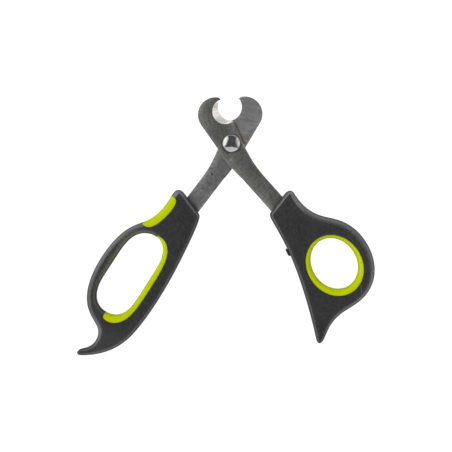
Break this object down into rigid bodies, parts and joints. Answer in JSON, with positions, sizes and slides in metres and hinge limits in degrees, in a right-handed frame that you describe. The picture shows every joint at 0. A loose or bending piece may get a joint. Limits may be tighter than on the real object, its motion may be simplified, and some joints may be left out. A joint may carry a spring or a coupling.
{
  "type": "scissor nail clipper",
  "caption": "Scissor-action claw clipper: notched steel blades on a rivet, hard handles with a finger loop, a thumb hole and soft grips.",
  "frame": {"origin": "below the middle of the clipper as it lies with its arms 50 degrees apart, on the plane of the handles' back faces", "axes": "+Z out of the front, the side with the domed rivet head; +Y along the pair's middle line towards the jaws; +X towards the thumb handle"},
  "size_m": [0.1353, 0.1137, 0.009],
  "materials": {
    "front_steel": "tumbled dark steel, ground bright in the notch",
    "back_steel": "ground flat steel, lightly brushed",
    "rivet_steel": "polished",
    "handle_plastic": "fine matte moulded texture",
    "soft_grip": "satin soft-touch elastomer, lime",
    "stop_rubber": "matte black rubber"
  },
  "bodies": {
    "finger_arm": {"back_blade": "back_steel", "finger_handle": "handle_plastic", "finger_loop_grip": "soft_grip", "index_rest_grip": "soft_grip", "pivot_rivet": "rivet_steel", "pivot_washer": "rivet_steel", "rivet_cap": "rivet_steel"},
    "thumb_arm": {"front_blade": "front_steel", "thumb_handle": "handle_plastic", "thumb_ring_grip": "soft_grip", "stop_bumper": "stop_rubber"}
  },
  "joints": [
    {"name": "blade_pivot", "type": "hinge", "parent": "finger_arm", "child": "thumb_arm", "pos_m": [0.0055, 0.036, 0.0045], "axis": [0, 0, 1], "range_deg": [-50, 45]}
  ]
}
